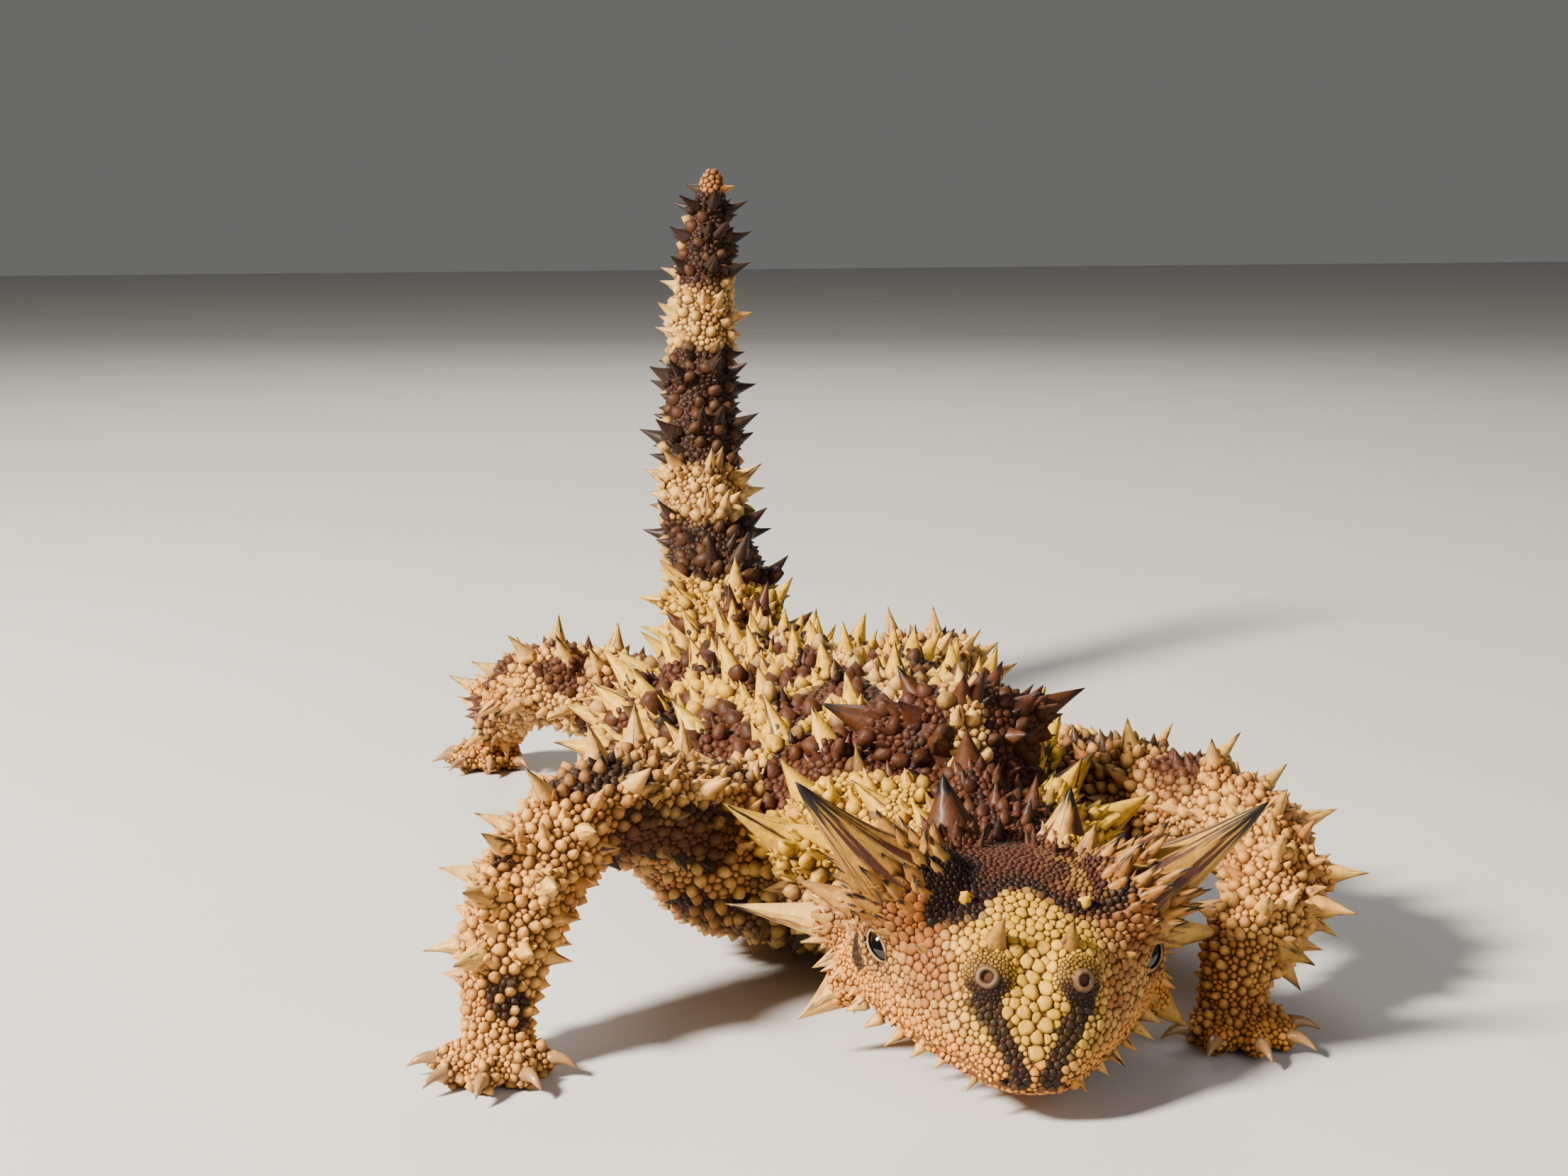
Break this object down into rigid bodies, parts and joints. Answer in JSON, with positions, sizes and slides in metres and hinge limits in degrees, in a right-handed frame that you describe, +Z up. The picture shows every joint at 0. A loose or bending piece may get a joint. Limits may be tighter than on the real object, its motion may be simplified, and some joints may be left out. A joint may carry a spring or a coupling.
{
  "type": "thorny devil lizard model",
  "caption": "Still, life-size thorny devil lizard in a walking stance, head low, tail raised, covered in tapered thorns, on flat-soled clawed feet.",
  "frame": {"origin": "on the floor plane under the middle of the model's box", "axes": "+Z up from the floor, -Y the way the animal faces, +X its left side"},
  "size_m": [0.068, 0.1128, 0.0562],
  "materials": {
    "skin": "dry, matt scaly skin in cream, yellow and reddish brown",
    "horn": "horny keratin, tan with dark streaks and tips, slight sheen",
    "eye": "wet, dark, glossy"
  },
  "bodies": {
    "root": {"eye_left": "eye", "eye_right": "eye", "foot_left": "skin", "foot_right": "skin", "forearm_left": "skin", "forearm_right": "skin", "hand_left": "skin", "hand_right": "skin", "head": "skin", "horn_left": "horn", "horn_right": "horn", "neck": "skin", "shank_left": "skin", "shank_right": "skin", "tail_base": "skin", "tail_middle": "skin", "tail_tip": "skin", "thigh_left": "skin", "thigh_right": "skin", "torso": "skin", "upper_arm_left": "skin", "upper_arm_right": "skin"}
  },
  "joints": []
}
